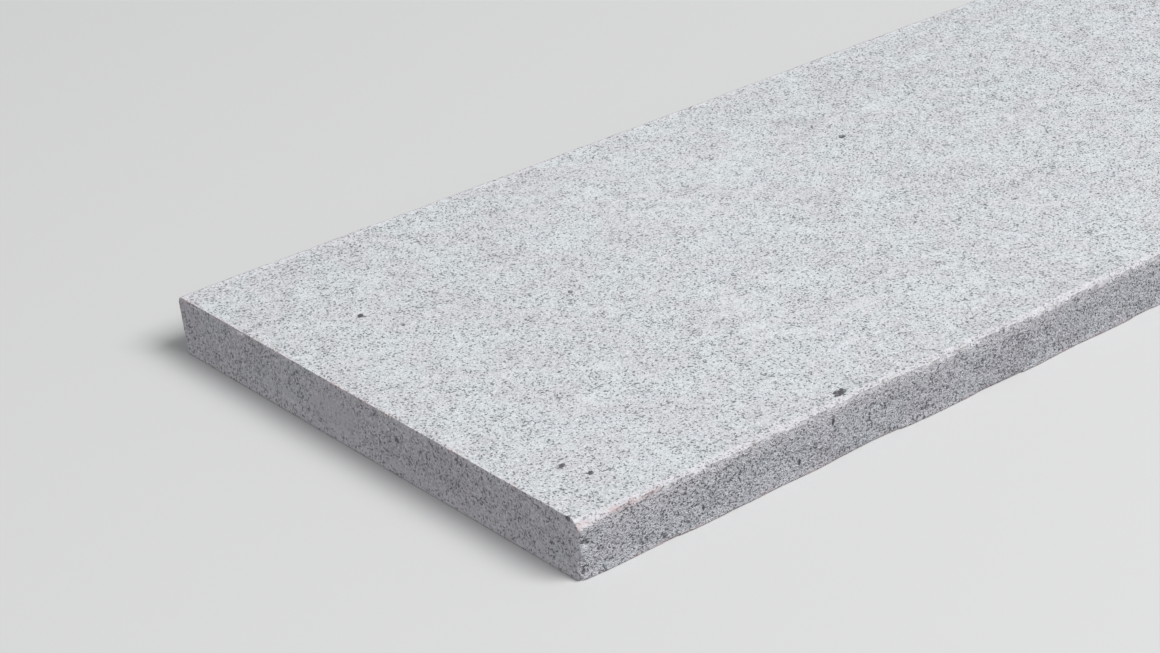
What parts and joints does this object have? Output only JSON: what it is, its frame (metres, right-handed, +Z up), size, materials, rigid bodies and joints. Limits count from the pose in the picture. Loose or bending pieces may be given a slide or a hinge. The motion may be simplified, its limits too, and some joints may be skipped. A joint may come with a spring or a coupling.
{
  "type": "coping stone",
  "caption": "Flat granite coping slab for a wall top: flat top and bed, sawn ends, hand-dressed long sides with broken arrises, and a back that leans in under the top.",
  "frame": {"origin": "centre of the slab's box, on the bed that it lies on", "axes": "+X along the slab, -Y out of its dressed front, +Z up from the bed to the top face"},
  "size_m": [1, 0.3, 0.03],
  "materials": {
    "granite": "light grey fine-grained granite with dark mica specks: flamed top, sawn ends, hand-dressed long sides"
  },
  "bodies": {
    "root": {"coping_stone": "granite"}
  },
  "joints": []
}
